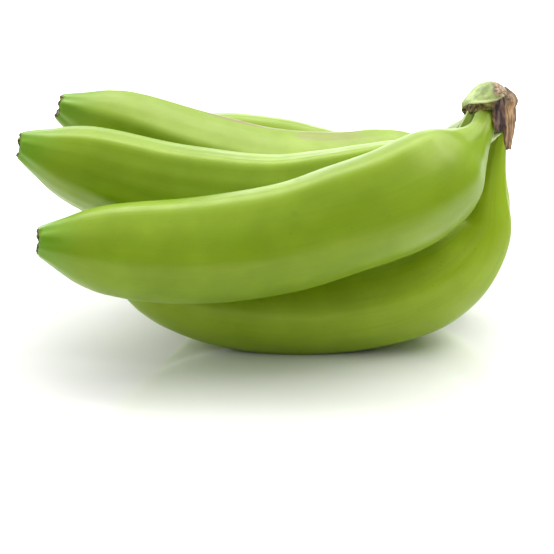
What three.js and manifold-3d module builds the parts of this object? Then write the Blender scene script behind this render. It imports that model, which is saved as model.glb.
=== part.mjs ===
import * as THREE from 'three';
import { mergeVertices } from 'three/addons/utils/BufferGeometryUtils.js';
import Module from 'manifold-3d';

// A hand of unripe bananas: six curved fruit grown together at one crown.
// Millimetres. X runs along the hand, Y away from the viewer, Z up from the surface it lies on.

const wasm = await Module();
wasm.setup();

// Gap left between pieces that touch on the real hand.
const GAP = 0.35;

// Facets round a fruit and along it.
const SIDES = 20;
const STATIONS = 32;
// Stations crowd towards the neck and the tip by this share.
const END_CROWDING = 0.35;
// Corners closer than this are one corner.
const SAME_CORNER = 1e-4;

// Five long edges run down every fruit, each with a flat beside it.
const EDGE_COUNT = 5;
const EDGE_SHARPNESS = 0.27;

// Width along a fruit: fraction of its length from the neck, fraction of its full width.
const BLUNT_TIP = [
  [0.72, 0.955], [0.8, 0.905], [0.875, 0.8], [0.92, 0.67], [0.96, 0.48], [0.985, 0.345], [1, 0.26],
];
const SHORT_NECK = [
  [0, 0.22], [0.06, 0.23], [0.09, 0.31], [0.12, 0.49],
  [0.165, 0.8], [0.215, 0.95], [0.28, 1], [0.6, 0.985],
];
const MIDDLE_NECK = [
  [0, 0.23], [0.05, 0.235], [0.09, 0.33], [0.14, 0.6],
  [0.2, 0.86], [0.26, 0.965], [0.33, 1], [0.6, 0.985],
];
const SLIM_NECK = [
  [0, 0.235], [0.055, 0.235], [0.105, 0.3], [0.165, 0.48],
  [0.225, 0.73], [0.285, 0.9], [0.345, 0.985], [0.6, 0.99],
];
const LONG_NECK = [
  [0, 0.22], [0.06, 0.225], [0.12, 0.3], [0.19, 0.47],
  [0.26, 0.7], [0.33, 0.9], [0.4, 0.985], [0.6, 0.99],
];

// Neighbours press the fruit a little narrower from side to side, most of all at the shoulder.
const SQUEEZE = [[0, 1], [0.07, 0.95], [0.14, 0.86], [0.25, 0.88], [0.45, 0.93], [0.8, 0.95], [1, 1]];

// Each fruit: full width, neck, height of its edges, where the edges start at neck and tip in
// degrees round the section, and its centreline from the crown to the tip.
const FRUITS = [
  {
    name: 'front', width: 40, neck: SHORT_NECK, edge: 0.03, edgeTurn: [126, 104],
    centreline: [
      [81.5, -21, 94], [80.2, -25.5, 88.5], [76, -31.5, 82.5], [67.7, -38.5, 75.8], [59, -45, 70.7],
      [45, -51.5, 64.8],
      [29, -53.5, 59.5], [6, -54, 52], [-25, -56, 48], [-56, -57.5, 48.5], [-81.8, -60, 52],
    ],
  },
  {
    name: 'middle', width: 38.5, neck: MIDDLE_NECK, edge: 0.05, edgeTurn: [110, 124],
    centreline: [
      [79, -13.8, 88.5], [77.2, -15.6, 84.5], [73.6, -15.8, 77.5], [70.2, -14.8, 70], [63, -13, 63],
      [46, -12, 57.5],
      [23, -13, 53.5], [-3, -14, 52], [-38, -16, 57.5], [-69, -17, 67.5], [-92.3, -18, 75.5],
    ],
  },
  {
    name: 'upper', width: 38, neck: SLIM_NECK, edge: 0.045, edgeTurn: [140, 150],
    centreline: [
      [81.6, -4.2, 87.2], [80, -2.4, 82.8], [76.6, 1.5, 76.8], [72, 8, 67.8], [63.6, 17, 57],
      [49, 23, 51.5],
      [27, 24, 48.5], [-2, 23.5, 50.5], [-32, 22, 59.5], [-59, 20.5, 71], [-81.5, 19, 80.5],
    ],
  },
  {
    name: 'back', width: 36, neck: LONG_NECK, edge: 0.035, edgeTurn: [100, 112],
    centreline: [
      [83, 6.6, 83], [79.3, 16, 74.6], [77.3, 31, 65.2], [75.6, 43.5, 54.4], [66, 53, 43.5],
      [49, 58, 38.5], [27, 60, 41], [3, 60, 47.5], [-23, 60, 52], [-50, 60, 55],
    ],
  },
  {
    name: 'lower', width: 37, neck: LONG_NECK, edge: 0.035, edgeTurn: [96, 104],
    centreline: [
      [88, -14.6, 88], [84.2, -20, 74], [82, -25, 59.5], [80, -27, 45.5], [70.5, -29, 33.5],
      [55, -30.5, 24.5], [33, -31.5, 18.8], [8, -31.5, 17], [-15, -31, 18.8], [-38, -30, 24],
      [-58.5, -30, 31.5],
    ],
  },
  {
    name: 'rear', width: 35, neck: LONG_NECK, edge: 0.035, edgeTurn: [96, 104],
    centreline: [
      [90, -3, 85.5], [86.8, -4, 73], [85, -1.5, 58], [83.3, 1, 44], [76.5, 2.5, 31],
      [61, 3.5, 21.5], [40, 4, 17], [17, 4, 16.2], [-6, 4.5, 18], [-26, 4.5, 22], [-43, 4.5, 29],
    ],
  },
];

// Dried blossom end at each tip.
const TIP = {
  thickness: 1.5,
  sides: 12,
  rings: 3,
  startShare: 0.97,
  taper: 0.26,
  roughness: 0.1,
  roughAtBase: 0.3,
  sunkCentre: 0.6,
};

// Crown: a domed cushion, longer across the hand than it is wide, that falls to its far end.
const CROWN = {
  centre: [82.2, -8],
  halfWidth: 9.2,
  halfLength: 21.5,
  squareness: 2.5,
  lean: 1.2,
  fall: 12,
  fallPower: 1.5,
  hangHeight: 92.3,
  rightShoulder: 1.35,
  rightBulge: 2.4,
  bulgeFrom: -0.1,
  bulgeTo: 0.25,
  sides: 44,
  rings: 14,
  ringCrowding: 1.6,
  lump: 0.03,
  lumpTurns: 6,
  lumpTwist: 0.08,
};
// Its upright profile: height, fraction of the half width, fraction of the half length.
const CROWN_PROFILE = [
  [84, 0.6, 0.56], [87, 0.74, 0.68], [90, 0.85, 0.84], [92.3, 0.91, 0.97], [94.2, 0.95, 1],
  [96, 0.85, 0.99], [98.6, 0.6, 0.94], [100.7, 0.34, 0.8], [101.7, 0.17, 0.6], [102, 0.05, 0.3],
];
const CROWN_BOTTOM = CROWN_PROFILE[0][0];
const CROWN_TOP = CROWN_PROFILE[CROWN_PROFILE.length - 1][0];
const CROWN_WIDTHS = CROWN_PROFILE.map(([height, width]) => [height, width]);
const CROWN_LENGTHS = CROWN_PROFILE.map(([height, , length]) => [height, length]);

// Dry skin: a torn brown sheet round the near and right side of the crown, with a hanging flap.
const SKIN = {
  startTurn: -190,
  endTurn: 20,
  columns: 56,
  rows: 11,
  clearance: 0.45,
  thickness: 1,
  ragged: 0.5,
  crease: 0.35,
  hang: 3,
  hangDrop: 5,
  hangPower: 3,
};
// Its lower and upper edges along the sheet: fraction, height.
const SKIN_LOWER_EDGE = [
  [0, 90.2], [0.12, 89.6], [0.19, 89.6], [0.33, 90.3], [0.42, 92], [0.447, 92.4],
  [0.466, 85.4], [0.505, 84.6], [0.52, 79.5], [0.54, 77.4], [0.565, 77.6], [0.582, 82],
  [0.6, 85.5], [0.65, 88.3], [0.85, 89.5], [1, 92.5],
];
const SKIN_UPPER_EDGE = [
  [0, 92], [0.12, 92.3], [0.19, 92.7], [0.33, 93.6], [0.43, 95.4], [0.476, 97.4],
  [0.524, 99.3], [0.62, 99.6], [0.76, 99], [0.9, 97.6], [1, 94.8],
];

// The surface that the hand lies on cuts the bellies flat inside this reach.
const SURFACE_REACH = 400;

const SEED = 7;

const PEEL_GREEN = 0x9cc22e;
const PEEL_LIGHT = 0xb4d455;
const PEEL_DEEP = 0x7f9f1c;
const CROWN_GREEN = 0x9ca96a;
const DRY_SKIN_BROWN = 0x7d6248;
const TIP_BROWN = 0x4a3a24;
const PEEL_ROUGHNESS = 0.42;
const CROWN_ROUGHNESS = 0.6;
const DRY_ROUGHNESS = 0.9;

// Repeatable random numbers between 0 and 1, by the minimal standard generator.
function seededRandom(seed) {
  const multiplier = 16807;
  const modulus = 2147483647;
  let state = seed;
  return () => {
    state = (state * multiplier) % modulus;
    return state / modulus;
  };
}

// Smooth value from pairs [place, value] that never overshoots them.
function smoothValue(pairs, place) {
  const last = pairs.length - 1;
  const slopes = [];
  for (let i = 0; i < last; i += 1) {
    slopes.push((pairs[i + 1][1] - pairs[i][1]) / (pairs[i + 1][0] - pairs[i][0]));
  }
  const tangentAt = (i) => {
    if (i === 0) return slopes[0];
    if (i === last) return slopes[last - 1];
    if (slopes[i - 1] * slopes[i] <= 0) return 0;
    return (2 * slopes[i - 1] * slopes[i]) / (slopes[i - 1] + slopes[i]);
  };
  let i = 0;
  while (i < last - 1 && place > pairs[i + 1][0]) i += 1;
  const span = pairs[i + 1][0] - pairs[i][0];
  const t = THREE.MathUtils.clamp((place - pairs[i][0]) / span, 0, 1);
  const rest = 1 - t;
  return (
    (1 + 2 * t) * rest * rest * pairs[i][1] +
    t * rest * rest * span * tangentAt(i) +
    t * t * (3 - 2 * t) * pairs[i + 1][1] +
    t * t * (t - 1) * span * tangentAt(i + 1)
  );
}

// A shape with its split corners joined, so that each corner is moved once.
function joined(geometry) {
  geometry.deleteAttribute('normal');
  geometry.deleteAttribute('uv');
  return mergeVertices(geometry, SAME_CORNER);
}

function solidOf(geometry) {
  const whole = joined(geometry);
  const mesh = new wasm.Mesh({
    numProp: 3,
    vertProperties: Float32Array.from(whole.attributes.position.array),
    triVerts: Uint32Array.from(whole.index.array),
  });
  return new wasm.Manifold(mesh);
}

function geometryOf(solid) {
  const mesh = solid.getMesh();
  const geometry = new THREE.BufferGeometry();
  geometry.setAttribute('position', new THREE.BufferAttribute(mesh.vertProperties, 3));
  geometry.setIndex(new THREE.BufferAttribute(mesh.triVerts, 1));
  geometry.computeVertexNormals();
  return geometry;
}

// The biggest body of a cut solid.
function mainBody(solid) {
  const bodies = solid.decompose();
  bodies.sort((a, b) => b.volume() - a.volume());
  return bodies[0];
}

function curveOf(fruit) {
  const points = fruit.centreline.map((p) => new THREE.Vector3(...p));
  return new THREE.CatmullRomCurve3(points, false, 'catmullrom', 0.5);
}

// Directions across a fruit: side runs away from the viewer, up to the inside of its bend.
function crossDirections(curve, along) {
  const tangent = curve.getTangentAt(along);
  const side = new THREE.Vector3(0, 1, 0).addScaledVector(tangent, -tangent.y).normalize();
  const up = new THREE.Vector3().crossVectors(side, tangent);
  return { tangent, side, up };
}

// Distance from the centreline to the peel, at an angle counted from the first long edge.
function peelRadius(fruit, along, fromEdge, grow) {
  const share = smoothValue([...fruit.neck, ...BLUNT_TIP], along);
  const turn = EDGE_COUNT * fromEdge;
  const edges = Math.cos(turn) + EDGE_SHARPNESS * Math.cos(2 * turn);
  return 0.5 * fruit.width * share * (1 + fruit.edge * share * edges) + grow;
}

// A cylinder whose every corner is moved to its place on the bent, tapered, five-edged fruit.
function bentFruit(fruit, grow) {
  const curve = curveOf(fruit);
  const shape = new THREE.CylinderGeometry(1, 1, 1, SIDES, STATIONS);
  const position = shape.attributes.position;
  const corner = new THREE.Vector3();
  for (let i = 0; i < position.count; i += 1) {
    corner.fromBufferAttribute(position, i);
    const even = 0.5 - corner.y;
    const crowding = (END_CROWDING * Math.sin(2 * Math.PI * even)) / (2 * Math.PI);
    const along = THREE.MathUtils.clamp(even - crowding, 0, 1);
    const { tangent, side, up } = crossDirections(curve, along);
    const fromEdge = Math.atan2(-corner.z, corner.x) - Math.PI / 2;
    const firstEdge = THREE.MathUtils.lerp(fruit.edgeTurn[0], fruit.edgeTurn[1], along);
    const angle = fromEdge + THREE.MathUtils.degToRad(firstEdge);
    const onAxis = Math.hypot(corner.x, corner.z) < 0.5;
    const radius = onAxis ? 0 : peelRadius(fruit, along, fromEdge, grow);
    const squeeze = smoothValue(SQUEEZE, along);
    const place = curve.getPointAt(along);
    place.addScaledVector(side, radius * squeeze * Math.cos(angle));
    place.addScaledVector(up, radius * Math.sin(angle));
    if (along === 0) place.addScaledVector(tangent, -grow);
    if (along === 1) place.addScaledVector(tangent, grow);
    position.setXYZ(i, place.x, place.y, place.z);
  }
  return solidOf(shape);
}

// Everything above the surface the hand lies on.
function aboveSurface() {
  const block = new THREE.BoxGeometry(SURFACE_REACH, SURFACE_REACH, SURFACE_REACH);
  return solidOf(block.translate(0, 0, SURFACE_REACH / 2));
}

// Small dark rough cap left where the flower dried off.
function blossomEnd(fruit, random) {
  const curve = curveOf(fruit);
  const tip = curve.getPointAt(1);
  const { tangent, side, up } = crossDirections(curve, 1);
  const shape = joined(new THREE.CylinderGeometry(1, 1, 1, TIP.sides, TIP.rings));
  const position = shape.attributes.position;
  const tipRadius = 0.5 * fruit.width * BLUNT_TIP[BLUNT_TIP.length - 1][1];
  const corner = new THREE.Vector3();
  for (let i = 0; i < position.count; i += 1) {
    corner.fromBufferAttribute(position, i);
    const out = 0.5 - corner.y;
    const angle = Math.atan2(-corner.z, corner.x);
    const onAxis = Math.hypot(corner.x, corner.z) < 0.5;
    const taper = TIP.startShare - TIP.taper * out * out;
    const rough = 1 + TIP.roughness * (2 * random() - 1) * (TIP.roughAtBase + out);
    const radius = onAxis ? 0 : tipRadius * taper * rough;
    const sunk = onAxis && out > 0.5 ? TIP.sunkCentre : 0;
    const place = tip.clone();
    place.addScaledVector(tangent, GAP + out * TIP.thickness - sunk);
    place.addScaledVector(side, radius * Math.cos(angle));
    place.addScaledVector(up, radius * Math.sin(angle));
    position.setXYZ(i, place.x, place.y, place.z);
  }
  return solidOf(shape);
}

// Plan outline of the crown at a height: distance from its middle in one direction.
function crownReach(angle, height) {
  const halfWidth = CROWN.halfWidth * smoothValue(CROWN_WIDTHS, height);
  const halfLength = CROWN.halfLength * smoothValue(CROWN_LENGTHS, height);
  const across = Math.abs(Math.cos(angle)) / halfWidth;
  const endways = Math.abs(Math.sin(angle)) / halfLength;
  return (across ** CROWN.squareness + endways ** CROWN.squareness) ** (-1 / CROWN.squareness);
}

// How far the crown has fallen, from its near end at -1 to its far end at 1.
function crownFall(endways) {
  return CROWN.fall * Math.max(0, 0.5 + 0.5 * endways) ** CROWN.fallPower;
}

// Place on the crown's dome: 0 at its sides, 1 at its top.
function domeShare(height) {
  return THREE.MathUtils.clamp((height - CROWN.hangHeight) / (CROWN_TOP - CROWN.hangHeight), 0, 1);
}

// Share of an outward step that goes upwards: none on the crown's sides, all of it at its top.
function crownSlope(height) {
  return THREE.MathUtils.smoothstep(domeShare(height), 0, 1);
}

// Point on the crown's surface, or a set distance outside it.
function crownPoint(angle, height, outside) {
  const lump = 1 + CROWN.lump * Math.sin(CROWN.lumpTurns * angle + CROWN.lumpTwist * height);
  const plain = crownReach(angle, height) * lump;
  const farward = Math.sin(angle) * plain / CROWN.halfLength;
  const beyond = THREE.MathUtils.smoothstep(farward, CROWN.bulgeFrom, CROWN.bulgeTo);
  const bulge = CROWN.rightBulge * beyond * (1 - Math.min(1, farward ** 2));
  const shoulder = CROWN.rightShoulder * Math.sin(Math.PI * domeShare(height));
  const reach = plain + Math.max(0, Math.cos(angle)) * (shoulder + bulge) + outside;
  const away = Math.sin(angle) * reach;
  const endways = away / CROWN.halfLength;
  const x = CROWN.centre[0] + Math.cos(angle) * reach - CROWN.lean * endways;
  const z = height - crownFall(endways) + outside * crownSlope(height);
  return new THREE.Vector3(x, CROWN.centre[1] + away, z);
}

// Height of one ring of the crown; they crowd towards its top.
function crownRingHeight(ring) {
  const below = (1 - ring / CROWN.rings) ** CROWN.ringCrowding;
  return CROWN_TOP - (CROWN_TOP - CROWN_BOTTOM) * below;
}

// Domed cushion that the necks grow from, as it is or grown a little all round.
function crownCushion(grow) {
  const shape = joined(new THREE.CylinderGeometry(1, 1, 1, CROWN.sides, CROWN.rings));
  const position = shape.attributes.position;
  const corner = new THREE.Vector3();
  for (let i = 0; i < position.count; i += 1) {
    corner.fromBufferAttribute(position, i);
    const height = crownRingHeight((0.5 + corner.y) * CROWN.rings);
    const angle = Math.atan2(-corner.z, corner.x);
    const onAxis = Math.hypot(corner.x, corner.z) < 0.5;
    const place = crownPoint(angle, height, grow);
    if (onAxis) {
      const z = height - crownFall(0) + grow * crownSlope(height);
      place.set(CROWN.centre[0], CROWN.centre[1], z);
    }
    if (height === CROWN_BOTTOM) place.z -= grow;
    position.setXYZ(i, place.x, place.y, place.z);
  }
  return solidOf(shape);
}

// Torn sheet of dry skin wrapped round the crown's near and right side. Below the crown's
// hang height it hangs free, out over the front neck.
function drySkinSheet(random) {
  const shape = joined(new THREE.BoxGeometry(1, 1, 1, SKIN.columns, SKIN.rows, 1));
  const position = shape.attributes.position;
  const corner = new THREE.Vector3();
  for (let i = 0; i < position.count; i += 1) {
    corner.fromBufferAttribute(position, i);
    const along = corner.x + 0.5;
    const rise = corner.y + 0.5;
    const outer = corner.z > 0;
    const turn = THREE.MathUtils.lerp(SKIN.startTurn, SKIN.endTurn, along);
    const angle = THREE.MathUtils.degToRad(turn);
    const low = smoothValue(SKIN_LOWER_EDGE, along);
    const high = smoothValue(SKIN_UPPER_EDGE, along);
    const torn = rise === 0 ? SKIN.ragged * (2 * random() - 1) : 0;
    const height = THREE.MathUtils.lerp(low, high, rise) + torn;
    const onCrown = Math.max(height, CROWN.hangHeight);
    const drop = onCrown - height;
    const facing = Math.max(0, -Math.sin(angle)) ** SKIN.hangPower;
    const hang = SKIN.hang * facing * THREE.MathUtils.smoothstep(drop, 0, SKIN.hangDrop);
    const crease = SKIN.crease * (random() - 0.5);
    const outside = SKIN.clearance + (outer ? SKIN.thickness + crease : 0);
    const place = crownPoint(angle, onCrown, outside);
    place.y -= hang;
    place.z -= drop;
    position.setXYZ(i, place.x, place.y, place.z);
  }
  return solidOf(shape);
}

function namedMesh(name, solid, color, roughness) {
  const material = new THREE.MeshStandardMaterial({ color, roughness, metalness: 0 });
  const mesh = new THREE.Mesh(geometryOf(solid), material);
  mesh.name = name;
  return mesh;
}

const PEEL_COLOURS = {
  front: PEEL_GREEN,
  middle: PEEL_GREEN,
  upper: PEEL_LIGHT,
  back: PEEL_LIGHT,
  lower: PEEL_DEEP,
  rear: PEEL_DEEP,
};

function hand() {
  const group = new THREE.Group();
  const random = seededRandom(SEED);
  const surface = aboveSurface();
  const necks = FRUITS.map((fruit) => bentFruit(fruit, GAP)).reduce((all, next) => all.add(next));
  FRUITS.forEach((fruit) => {
    const body = bentFruit(fruit, 0).intersect(surface);
    const end = blossomEnd(fruit, random);
    group.add(namedMesh(`banana_${fruit.name}`, body, PEEL_COLOURS[fruit.name], PEEL_ROUGHNESS));
    group.add(namedMesh(`blossom_end_${fruit.name}`, end, TIP_BROWN, DRY_ROUGHNESS));
  });
  const cushion = mainBody(crownCushion(0).subtract(necks));
  group.add(namedMesh('crown', cushion, CROWN_GREEN, CROWN_ROUGHNESS));
  const sheet = mainBody(drySkinSheet(random).subtract(necks).subtract(crownCushion(GAP)));
  group.add(namedMesh('crown_dry_skin', sheet, DRY_SKIN_BROWN, DRY_ROUGHNESS));
  return group;
}

export default hand();
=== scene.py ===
import bisect
import math
import bpy
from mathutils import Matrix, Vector, noise


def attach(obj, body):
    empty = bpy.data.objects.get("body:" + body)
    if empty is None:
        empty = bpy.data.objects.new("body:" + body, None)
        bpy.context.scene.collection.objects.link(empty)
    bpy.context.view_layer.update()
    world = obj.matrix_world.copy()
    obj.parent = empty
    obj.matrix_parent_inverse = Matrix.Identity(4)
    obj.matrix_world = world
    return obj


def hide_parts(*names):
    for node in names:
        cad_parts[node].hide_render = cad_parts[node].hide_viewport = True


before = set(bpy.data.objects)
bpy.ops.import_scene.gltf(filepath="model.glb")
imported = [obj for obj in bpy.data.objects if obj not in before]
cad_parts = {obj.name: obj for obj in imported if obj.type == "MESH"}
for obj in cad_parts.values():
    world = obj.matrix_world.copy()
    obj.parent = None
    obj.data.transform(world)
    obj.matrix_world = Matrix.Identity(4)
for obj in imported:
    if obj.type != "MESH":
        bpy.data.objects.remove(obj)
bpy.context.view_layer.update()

# A hand of unripe bananas lying on a white table. The fruit is measured in millimetres, which mm
# turns to metres; the table and the lights are in metres.
mm = 0.001
print("loaded the packed hand:", len(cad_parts), "solids")


# Small tools

def smoothValue(pairs, place):
    # a smooth line through pairs of place and value that never overshoots them
    last = len(pairs) - 1
    slopes = [(b[1] - a[1]) / (b[0] - a[0]) for a, b in zip(pairs, pairs[1:])]

    def tangentAt(i):
        if i == 0 or i == last:
            return slopes[min(i, last - 1)]
        if slopes[i - 1] * slopes[i] <= 0:
            return 0
        return 2 * slopes[i - 1] * slopes[i] / (slopes[i - 1] + slopes[i])

    i = 0
    while i < last - 1 and place > pairs[i + 1][0]:
        i += 1
    span = pairs[i + 1][0] - pairs[i][0]
    t = min(max((place - pairs[i][0]) / span, 0), 1)
    rest = 1 - t
    return ((1 + 2 * t) * rest * rest * pairs[i][1] + t * rest * rest * span * tangentAt(i)
            + t * t * (3 - 2 * t) * pairs[i + 1][1] + t * t * (t - 1) * span * tangentAt(i + 1))


def easeBetween(low, high, value):
    t = min(max((value - low) / (high - low), 0), 1)
    return t * t * (3 - 2 * t)


def deselectAll():
    if bpy.context.object and bpy.context.object.mode != 'OBJECT':
        bpy.ops.object.mode_set(mode='OBJECT')
    bpy.ops.object.select_all(action='DESELECT')


def selectParts(piece, kind, test):
    # picks edges or polygons in code, by a test on each, and opens edit mode
    bpy.ops.object.mode_set(mode='EDIT')
    bpy.ops.mesh.select_mode(type={"edges": 'EDGE', "polygons": 'FACE'}[kind])
    bpy.ops.mesh.select_all(action='DESELECT')
    bpy.ops.object.mode_set(mode='OBJECT')
    for part in getattr(piece.data, kind):
        part.select = test(part)
    bpy.ops.object.mode_set(mode='EDIT')


def cutUprights(piece, cutCounts):
    # cuts the upright edges of a new cylinder into shorter ones, in one round for each count
    levelWithin = 1e-4
    for count in cutCounts:
        heights = [v.co.z for v in piece.data.vertices]
        selectParts(piece, "edges", lambda edge: abs(
            heights[edge.vertices[0]] - heights[edge.vertices[1]]) > levelWithin)
        bpy.ops.mesh.subdivide(number_cuts=count)
        bpy.ops.object.mode_set(mode='OBJECT')


def addMarks(piece, kinds):
    # values kept at each vertex for the materials to read, fetched once all of them are there
    for name, kind in kinds.items():
        piece.data.attributes.new(name, kind, 'POINT')
    return [piece.data.attributes[name].data for name in kinds]


def giveThickness(piece, thickness):
    # turns a sheet into a closed wall that grows inwards from it
    solidify = piece.modifiers.new("thickness", 'SOLIDIFY')
    solidify.thickness = thickness * mm
    solidify.offset = -1
    bpy.ops.object.modifier_apply(modifier=solidify.name)


def smoothOutwards():
    # turns the new piece's faces outwards and shades them smooth
    bpy.ops.object.mode_set(mode='EDIT')
    bpy.ops.mesh.select_all(action='SELECT')
    bpy.ops.mesh.normals_make_consistent(inside=False)
    bpy.ops.object.mode_set(mode='OBJECT')
    bpy.ops.object.shade_smooth()


def linearColour(hexCode):
    # sRGB hex to linear
    channels = [int(hexCode[i:i + 2], 16) / 255 for i in (1, 3, 5)]
    return tuple(c / 12.92 if c <= 0.04045 else ((c + 0.055) / 1.055) ** 2.4 for c in channels) + (1,)


def newMaterial(name):
    material = bpy.data.materials.new(name)
    material.use_nodes = True
    material.node_tree.nodes.clear()
    return material


def addNode(material, kind, settings, links):
    # a node with its settings, its input values and what is plugged into it
    node = material.node_tree.nodes.new(kind)
    for key, value in settings.items():
        if isinstance(key, str) and hasattr(node, key):
            setattr(node, key, value)
        else:
            node.inputs[key].default_value = value
    for key, socket in links.items():
        material.node_tree.links.new(socket, node.inputs[key])
    return node


# The mix node's places for colours: its inputs and its result
mixPlace = {"share": 0, "under": 6, "over": 7, "result": 2}


def layColours(material, base, coats):
    # lays coats of colour over a base in turn, each by its share; a colour is a hex code or a socket
    under = base
    for colour, share in coats:
        settings = {"data_type": 'RGBA'}
        links = {mixPlace["share"]: share}
        for key, value in ((mixPlace["under"], under), (mixPlace["over"], colour)):
            if isinstance(value, str):
                settings[key] = linearColour(value)
            else:
                links[key] = value
        under = addNode(material, "ShaderNodeMix", settings, links).outputs[mixPlace["result"]]
    return under


def noiseShare(material, place, size, low, high, most):
    # a noise of a size in millimetres, stretched between two levels to a share of up to most
    texture = addNode(material, "ShaderNodeTexNoise", {
        "Scale": 1 / (size * mm), "Detail": 4.0}, {"Vector": place})
    return addNode(material, "ShaderNodeMapRange", {
        "From Min": low, "From Max": high, "To Min": 0.0, "To Max": most}, {
        "Value": texture.outputs["Fac"]}).outputs["Result"]


# Camera, table and light

view = {"target": (3, -16, 22.6), "distance": 760, "elevation": 20, "lens": 128.6, "nearest": 10}


def addCamera():
    tilt = math.radians(view["elevation"])
    back = Vector((0, -math.cos(tilt), math.sin(tilt))) * view["distance"]
    place = (Vector(view["target"]) + back) * mm
    bpy.ops.object.camera_add(location=place, rotation=(math.pi / 2 - tilt, 0, 0))
    camera = bpy.context.object
    camera.name = "camera"
    camera.data.lens = view["lens"]
    camera.data.clip_start = view["nearest"] * mm
    bpy.context.scene.camera = camera


# Polished white board: a pale grey body under a clear gloss that mirrors the fruit softly
table = {"size": 8.0, "colour": "#f0f0ee", "roughness": 0.1, "ior": 2.3}


def makeTable():
    bpy.ops.mesh.primitive_plane_add(size=table["size"], location=(0, 0, 0))
    floor = bpy.context.object
    floor.name = "table"
    board = newMaterial("whitePolishedBoard")
    shader = addNode(board, "ShaderNodeBsdfPrincipled", {
        "Base Color": linearColour(table["colour"]), "Roughness": table["roughness"],
        "IOR": table["ior"]}, {})
    addNode(board, "ShaderNodeOutputMaterial", {}, {"Surface": shader.outputs["BSDF"]})
    floor.data.materials.append(board)


# One very wide softbox above and behind, a smaller one at each side, a low bright wall far behind
# that the tops of the fruit mirror, and a white room with dim walls that turns to a bright ceiling
# between two heights on a sky of radius 1
light = {
    "wall": 0.22, "ceiling": 1.15, "wallTop": 0.3, "ceilingEdge": 0.85,
    "softboxes": [
        {"name": "overhead", "place": (0.15, 0.7, 1.35), "aim": (0, 0, 0.05), "wide": 2.2,
         "high": 1.1, "power": 36},
        {"name": "rightPanel", "place": (0.8, -0.15, 1.1), "aim": (0.05, 0, 0.07), "wide": 0.6,
         "high": 0.6, "power": 8},
        {"name": "backWall", "place": (0, 2.6, 0.42), "aim": (0, 0, 0.4), "wide": 5.0,
         "high": 0.72, "power": 44},
        {"name": "leftPanel", "place": (-1.2, -0.2, 0.75), "aim": (-0.05, 0, 0.05), "wide": 0.6,
         "high": 0.6, "power": 4.5},
    ],
}


def makeLights():
    world = bpy.data.worlds.new("whiteRoom")
    world.use_nodes = True
    world.node_tree.nodes.clear()
    way = addNode(world, "ShaderNodeTexCoord", {}, {}).outputs["Generated"]
    height = addNode(world, "ShaderNodeSeparateXYZ", {}, {"Vector": way}).outputs["Z"]
    strength = addNode(world, "ShaderNodeMapRange", {
        "From Min": light["wallTop"], "From Max": light["ceilingEdge"], "To Min": light["wall"],
        "To Max": light["ceiling"]}, {"Value": height}).outputs["Result"]
    glow = addNode(world, "ShaderNodeBackground", {"Color": (1, 1, 1, 1)}, {"Strength": strength})
    addNode(world, "ShaderNodeOutputWorld", {}, {"Surface": glow.outputs["Background"]})
    bpy.context.scene.world = world
    for softbox in light["softboxes"]:
        place = Vector(softbox["place"])
        turn = (Vector(softbox["aim"]) - place).to_track_quat('-Z', 'Y').to_euler()
        bpy.ops.object.light_add(type='AREA', location=place, rotation=turn)
        lamp = bpy.context.object
        lamp.name = softbox["name"]
        lamp.data.shape = 'RECTANGLE'
        lamp.data.size = softbox["wide"]
        lamp.data.size_y = softbox["high"]
        lamp.data.energy = softbox["power"]


deselectAll()
addCamera()
makeTable()
makeLights()
bpy.context.scene.view_settings.view_transform = 'Standard'
print("camera, table and lights are up")


# Peel: each banana is a bent, five-edged, blunt-tipped fruit

peel = {
    "around": 90, "lengthCuts": (9, 13), "crowding": 0.2, "lowest": 0.02,
    "edgeCount": 5, "edgeSharpness": 0.27, "edgePower": 3,
    "waviness": 0.22, "waveLength": 26, "fineWaviness": 0.05, "fineWaveLength": 7,
    "tipPleats": 9, "tipPleatDepth": 0.2, "tipPleatTurn": 3, "tipPleatsFrom": 0.93,
    "tipLobe": 1.3, "tipLobeLength": 4.5, "tipLobeSeed": 7, "tipLobeFrom": 0.95,
    "neckRibDepth": 0.08, "neckRibsFade": (0.05, 0.2),
    "patternRadius": 18,
    "bluntTip": [(0.72, 0.955), (0.8, 0.905), (0.875, 0.8), (0.92, 0.67), (0.96, 0.48),
                 (0.985, 0.345), (1, 0.26)],
    "squeeze": [(0, 1), (0.07, 0.95), (0.14, 0.86), (0.25, 0.88), (0.45, 0.93), (0.8, 0.95), (1, 1)],
}

# How wide a fruit is along its neck, as a share of its full width
shortNeck = [(0, 0.22), (0.06, 0.23), (0.09, 0.31), (0.12, 0.49),
             (0.165, 0.8), (0.215, 0.95), (0.28, 1), (0.6, 0.985)]
middleNeck = [(0, 0.23), (0.05, 0.235), (0.09, 0.33), (0.14, 0.6),
              (0.2, 0.86), (0.26, 0.965), (0.33, 1), (0.6, 0.985)]
slimNeck = [(0, 0.235), (0.055, 0.235), (0.105, 0.3), (0.165, 0.48),
            (0.225, 0.73), (0.285, 0.9), (0.345, 0.985), (0.6, 0.99)]
longNeck = [(0, 0.22), (0.06, 0.225), (0.12, 0.3), (0.19, 0.47),
            (0.26, 0.7), (0.33, 0.9), (0.4, 0.985), (0.6, 0.99)]

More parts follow.
